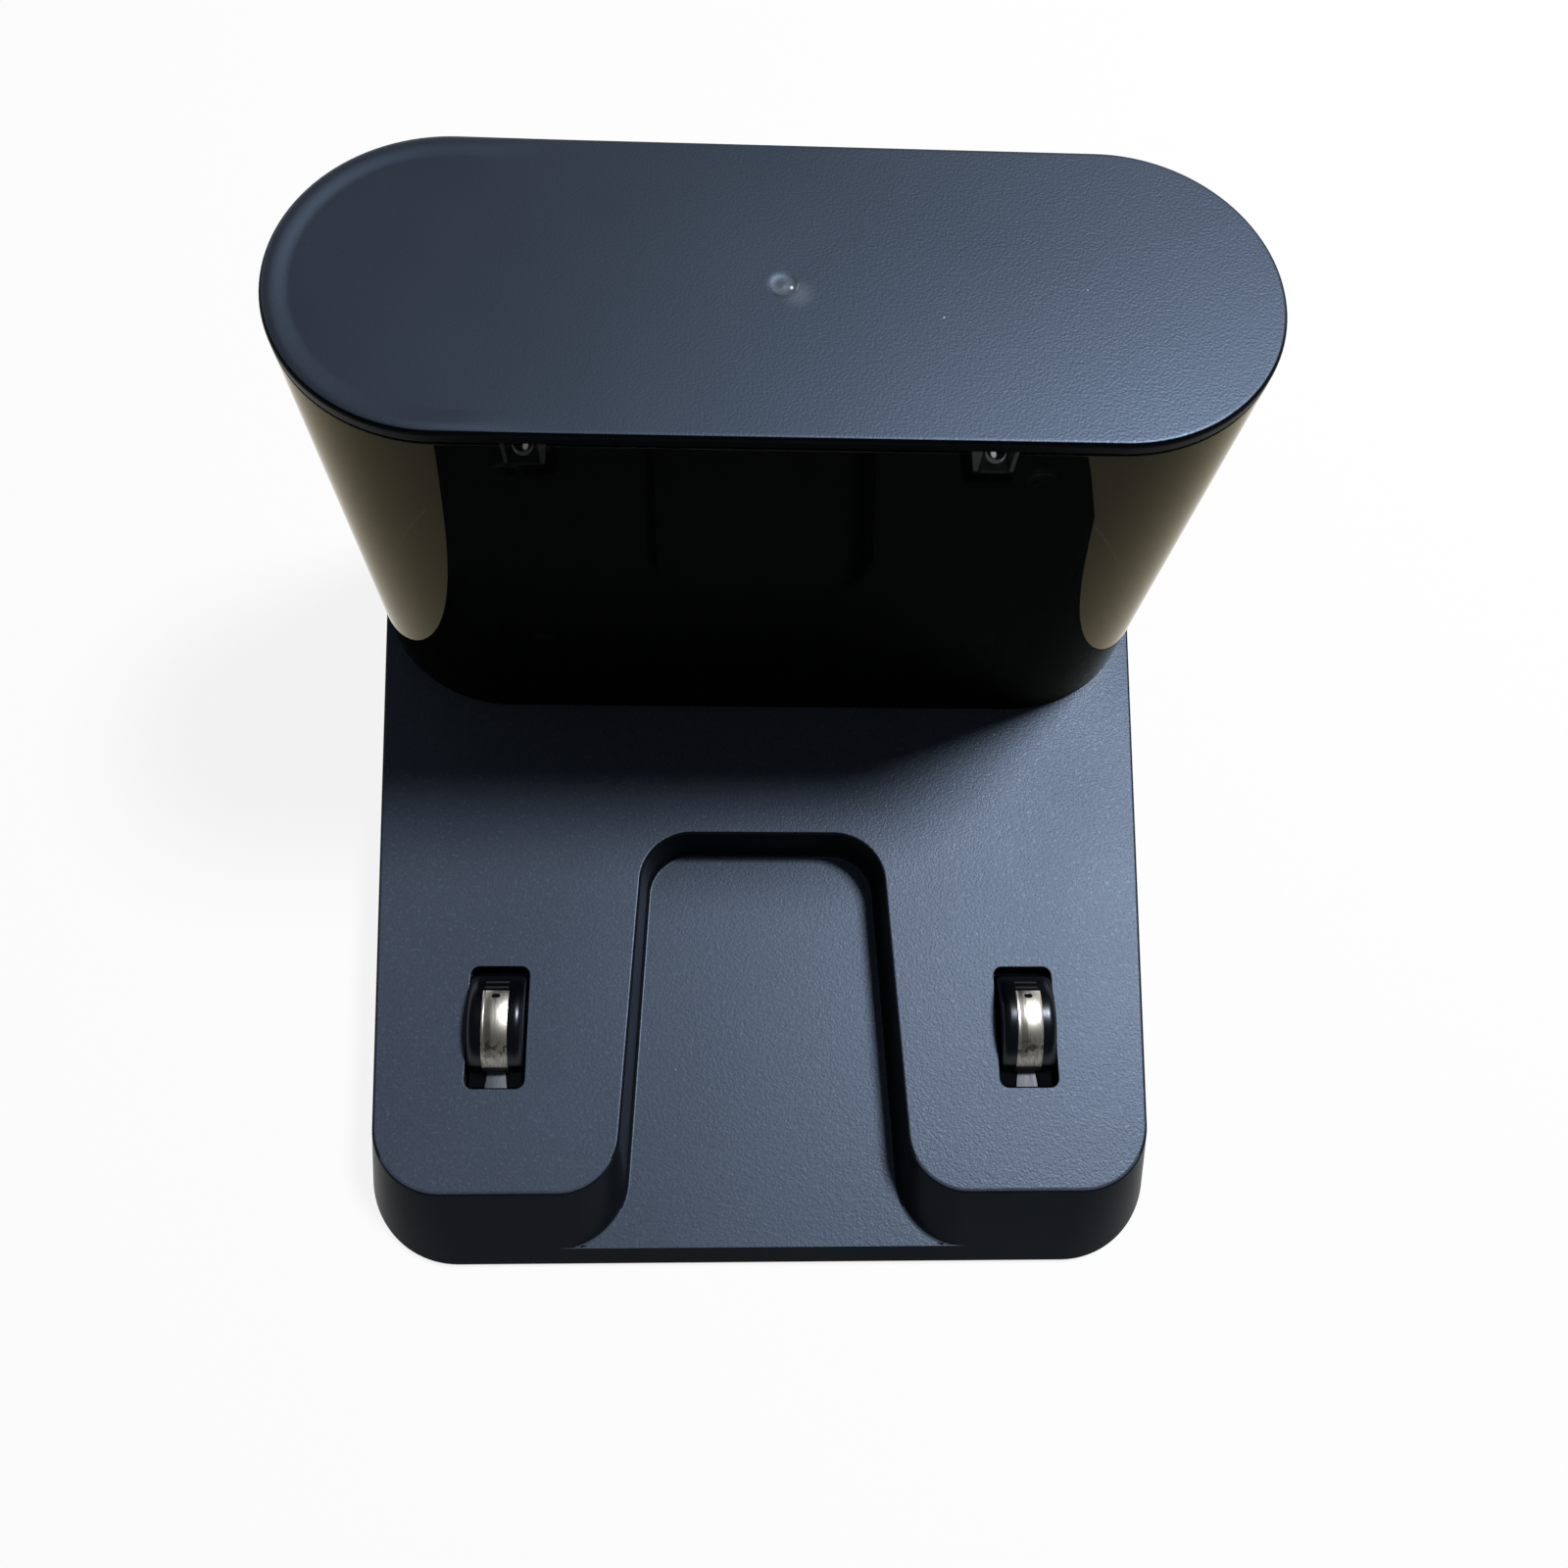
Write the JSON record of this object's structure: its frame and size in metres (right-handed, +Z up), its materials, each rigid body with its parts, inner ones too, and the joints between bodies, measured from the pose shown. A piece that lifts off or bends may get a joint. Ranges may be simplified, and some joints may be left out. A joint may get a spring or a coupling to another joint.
{
  "type": "robot vacuum charging dock",
  "caption": "Free-standing charging dock with a weighted base, a caster channel between two arms, sprung contact shoes and a smoked tower with infrared emitters.",
  "frame": {"origin": "on the floor, under the middle of the dock's length and width", "axes": "+X to the dock's right-hand contact as seen from the robot, +Y to the wall behind the dock, +Z up"},
  "size_m": [0.15, 0.1564, 0.106],
  "materials": {
    "base_plastic": "fine moulded grain, satin",
    "cover_plastic": "plain moulded, satin",
    "cap_plastic": "fine moulded grain, satin",
    "smoked_plastic": "smoked, polished",
    "core_plastic": "plain moulded",
    "holder_plastic": "plain moulded",
    "shoe_plastic": "smooth moulded",
    "foot_rubber": "matt",
    "strip_metal": "nickel plated, lightly scuffed",
    "spring_wire": "drawn wire",
    "terminal_brass": "stamped sheet",
    "screw_steel": "zinc plated",
    "ballast_steel": "plain sheet",
    "board_laminate": "solder mask",
    "capacitor_sleeve": "shrink sleeve",
    "chip_epoxy": "moulded",
    "connector_nylon": "moulded",
    "emitter_epoxy": "clear epoxy",
    "pin_metal": "nickel plated",
    "lead_red": "insulation",
    "lead_black": "insulation"
  },
  "bodies": {
    "base": {"base_shell": "base_plastic", "base_cover": "cover_plastic", "cover_screws": "screw_steel", "ballast_plate": "ballast_steel", "foot_front_left": "foot_rubber", "foot_front_right": "foot_rubber", "foot_rear_left": "foot_rubber", "foot_rear_right": "foot_rubber", "tower_core": "core_plastic", "tower_screws": "screw_steel", "tower_sleeve": "smoked_plastic", "tower_cap": "cap_plastic", "main_board": "board_laminate", "board_screws": "screw_steel", "capacitor": "capacitor_sleeve", "driver_chip": "chip_epoxy", "lead_connector": "connector_nylon", "emitter_holder_left": "holder_plastic", "emitter_holder_right": "holder_plastic", "emitter_left": "emitter_epoxy", "emitter_right": "emitter_epoxy", "dc_jack": "core_plastic", "jack_pin": "pin_metal", "power_lead": "lead_black", "contact_spring_left": "spring_wire", "contact_spring_right": "spring_wire", "contact_terminal_left": "terminal_brass", "contact_terminal_right": "terminal_brass", "contact_lead_left": "lead_black", "contact_lead_right": "lead_red"},
    "contact_left": {"contact_carrier_left": "shoe_plastic", "contact_strip_left": "strip_metal"},
    "contact_right": {"contact_carrier_right": "shoe_plastic", "contact_strip_right": "strip_metal"}
  },
  "joints": [
    {"name": "contact_left_press", "type": "slide", "parent": "base", "child": "contact_left", "axis": [0, 0, -1], "range_m": [0, 0.0035], "stiffness_N_per_m": 200, "deforming": ["contact_spring_left"]},
    {"name": "contact_right_press", "type": "slide", "parent": "base", "child": "contact_right", "axis": [0, 0, -1], "range_m": [0, 0.0035], "stiffness_N_per_m": 200, "deforming": ["contact_spring_right"]}
  ]
}
